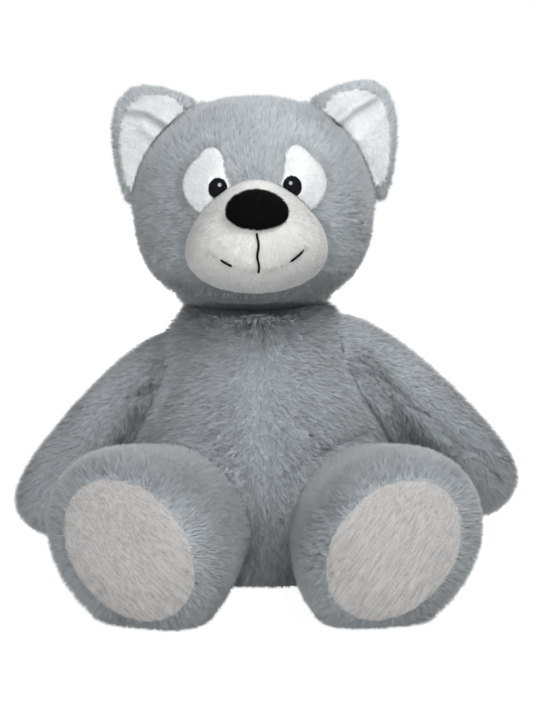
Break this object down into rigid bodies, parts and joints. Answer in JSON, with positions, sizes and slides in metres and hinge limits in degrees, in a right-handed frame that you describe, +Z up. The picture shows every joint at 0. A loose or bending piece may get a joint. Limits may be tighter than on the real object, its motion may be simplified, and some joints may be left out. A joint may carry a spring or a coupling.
{
  "type": "plush husky",
  "caption": "Seated plush husky toy with a round head, cupped ears, white muzzle and eye patches, embroidered eyes, splayed legs with oval soles, and arms hanging at its sides.",
  "frame": {"origin": "middle of the flat underside of the body, where the toy sits on a surface", "axes": "+Z up; the face and the soles point towards -Y; the toy's own left side is +X"},
  "size_m": [0.3074, 0.2762, 0.2968],
  "materials": {
    "grey_plush": "long pile plush",
    "white_pile": "short white pile",
    "muzzle_pile": "medium off-white pile",
    "sole_pile": "short beige-grey velour",
    "black_plush": "short black plush",
    "black_thread": "satin embroidery thread"
  },
  "bodies": {
    "root": {"body": "grey_plush", "head": "grey_plush", "arm_left": "grey_plush", "arm_right": "grey_plush", "leg_left": "grey_plush", "leg_right": "grey_plush", "tail": "grey_plush", "ear_back_left": "grey_plush", "ear_back_right": "grey_plush", "ear_lining_left": "white_pile", "ear_lining_right": "white_pile", "eye_patch_left": "white_pile", "eye_patch_right": "white_pile", "eye_glint_left": "white_pile", "eye_glint_right": "white_pile", "muzzle": "muzzle_pile", "sole_left": "sole_pile", "sole_right": "sole_pile", "nose": "black_plush", "eye_left": "black_thread", "eye_right": "black_thread", "mouth_stitch": "black_thread", "smile_stitch_left": "black_thread", "smile_stitch_right": "black_thread"}
  },
  "joints": []
}
